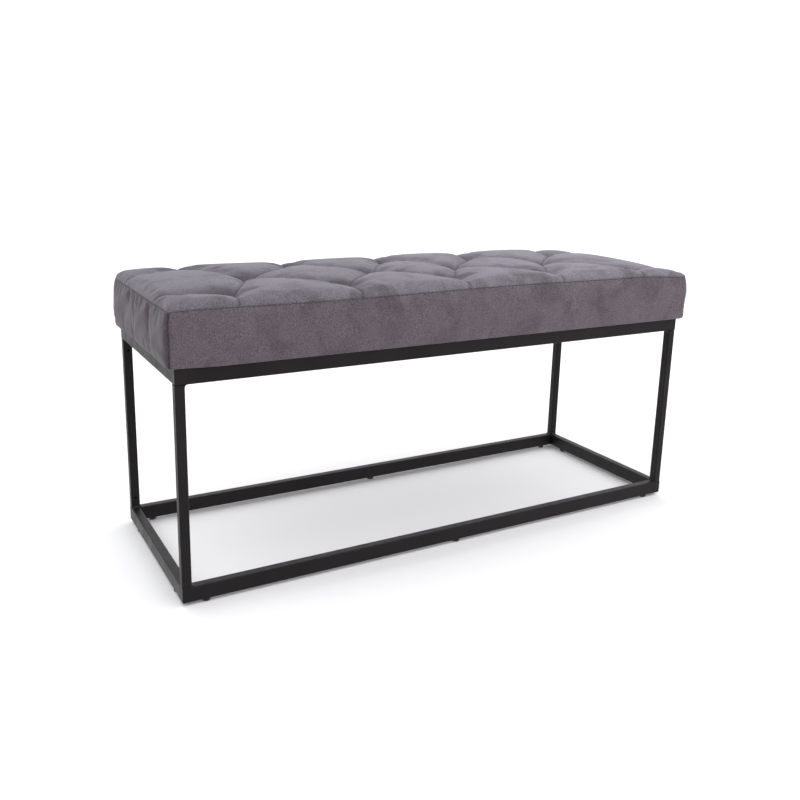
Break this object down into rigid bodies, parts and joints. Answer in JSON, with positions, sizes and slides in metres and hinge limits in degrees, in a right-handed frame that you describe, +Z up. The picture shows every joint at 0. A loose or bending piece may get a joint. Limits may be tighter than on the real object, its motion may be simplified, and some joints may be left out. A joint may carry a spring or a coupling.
{
  "type": "entryway bench",
  "caption": "Low upholstered bench: a tufted box cushion on an open rectangular frame of thin black steel tube, standing on small plastic glides.",
  "frame": {"origin": "on the floor, under the middle of the bench", "axes": "+X along the bench's length to the right as seen from the front, +Y to the back, +Z up"},
  "size_m": [1, 0.35, 0.47],
  "materials": {
    "frame_steel": "satin",
    "glide_plastic": "matte",
    "fixing_steel": "satin",
    "plywood": "matte",
    "foam": "matte",
    "twine": "matte",
    "seat_fabric": "matte",
    "dust_cover_fabric": "matte"
  },
  "bodies": {
    "root": {"leg_front_left": "frame_steel", "leg_front_right": "frame_steel", "leg_back_left": "frame_steel", "leg_back_right": "frame_steel", "bottom_rail_front": "frame_steel", "bottom_rail_right": "frame_steel", "bottom_rail_back": "frame_steel", "bottom_rail_left": "frame_steel", "top_rail_front": "frame_steel", "top_rail_right": "frame_steel", "top_rail_back": "frame_steel", "top_rail_left": "frame_steel", "gusset_front_left": "frame_steel", "gusset_front_right": "frame_steel", "gusset_back_left": "frame_steel", "gusset_back_right": "frame_steel", "glide_front_1": "glide_plastic", "glide_front_2": "glide_plastic", "glide_front_3": "glide_plastic", "glide_right_1": "glide_plastic", "glide_right_2": "glide_plastic", "glide_back_1": "glide_plastic", "glide_back_2": "glide_plastic", "glide_back_3": "glide_plastic", "glide_left_1": "glide_plastic", "glide_left_2": "glide_plastic", "seat_screw_front_left": "fixing_steel", "seat_screw_front_right": "fixing_steel", "seat_screw_back_left": "fixing_steel", "seat_screw_back_right": "fixing_steel", "t_nut_front_left": "fixing_steel", "t_nut_front_right": "fixing_steel", "t_nut_back_left": "fixing_steel", "t_nut_back_right": "fixing_steel", "seat_board": "plywood", "foam_block": "foam", "tuft_tie_01": "twine", "tuft_tie_02": "twine", "tuft_tie_03": "twine", "tuft_tie_04": "twine", "tuft_tie_05": "twine", "tuft_tie_06": "twine", "tuft_tie_07": "twine", "tuft_tie_08": "twine", "tuft_tie_09": "twine", "tuft_tie_10": "twine", "tuft_tie_11": "twine", "tuft_tie_12": "twine", "tuft_tie_13": "twine", "tuft_tie_14": "twine", "cover_top": "seat_fabric", "cover_front": "seat_fabric", "cover_right": "seat_fabric", "cover_back": "seat_fabric", "cover_left": "seat_fabric", "dust_cover": "dust_cover_fabric"}
  },
  "joints": []
}
